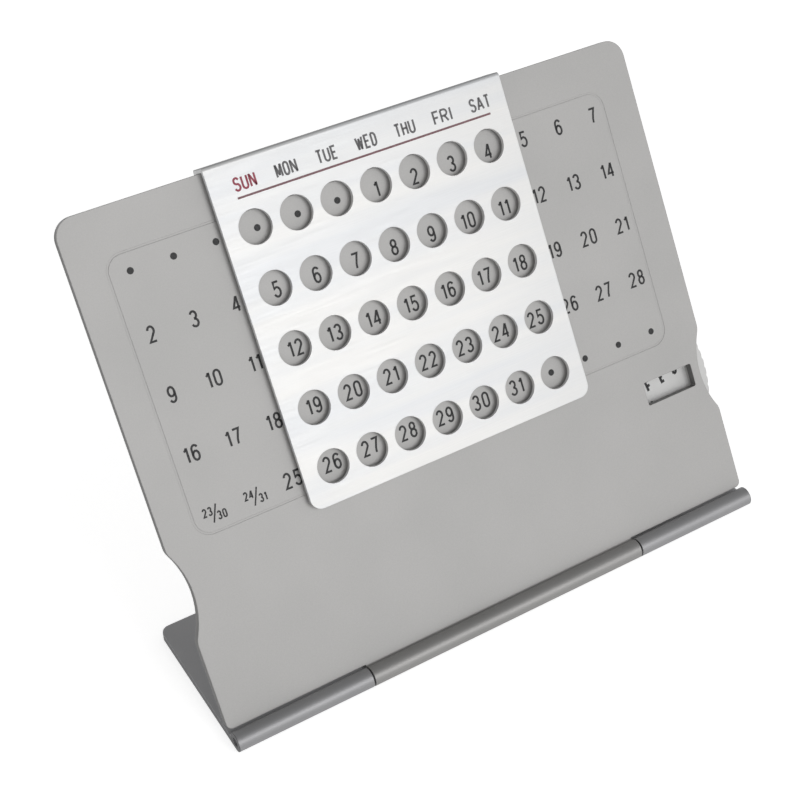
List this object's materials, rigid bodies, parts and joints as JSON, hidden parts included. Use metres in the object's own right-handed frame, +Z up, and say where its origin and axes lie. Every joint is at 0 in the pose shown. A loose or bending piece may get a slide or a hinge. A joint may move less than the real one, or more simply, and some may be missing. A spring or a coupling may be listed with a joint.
{
  "type": "perpetual desk calendar",
  "caption": "Perpetual desk calendar: a leaning sheet panel hinged to a base plate, a sliding punched date frame over the printed dates and a month dial behind a window.",
  "frame": {"origin": "on the table under the middle of the panel's width, halfway between the front of the hinge barrel and the back of the slider's fold", "axes": "+X to the viewer's right along the hinge, +Y backwards from the viewer, +Z up; the printed face looks towards -Y and up"},
  "size_m": [0.1058, 0.0502, 0.0754],
  "materials": {
    "panel": "matt bead-blasted, warm silver",
    "slider": "bright, finely brushed",
    "felt": "dense felt",
    "dial": "satin white",
    "stud": "turned",
    "spring_steel": "plain spring steel",
    "base": "matt bead-blasted silver",
    "pin": "ground"
  },
  "bodies": {
    "base": {"base_plate": "base", "hinge_pin": "pin"},
    "panel": {"face_panel": "panel", "dial_stud": "stud", "spring_washer": "spring_steel", "retaining_ring": "spring_steel"},
    "slider": {"date_slider": "slider", "top_felt": "felt", "bottom_felt": "felt", "lip_felt": "felt"},
    "dial": {"month_dial": "dial"}
  },
  "joints": [
    {"name": "panel_hinge", "type": "hinge", "parent": "base", "child": "panel", "pos_m": [0, -0.02342, 0.0017], "axis": [1, 0, 0], "range_deg": [0, 121.8]},
    {"name": "date_slide", "type": "slide", "parent": "panel", "child": "slider", "axis": [1, 0, 0], "range_m": [-0.0216, 0.0216]},
    {"name": "month_turn", "type": "hinge", "parent": "panel", "child": "dial", "pos_m": [0.0333, -0.00737, 0.02104], "axis": [0, -0.8499, 0.527], "continuous": true}
  ]
}
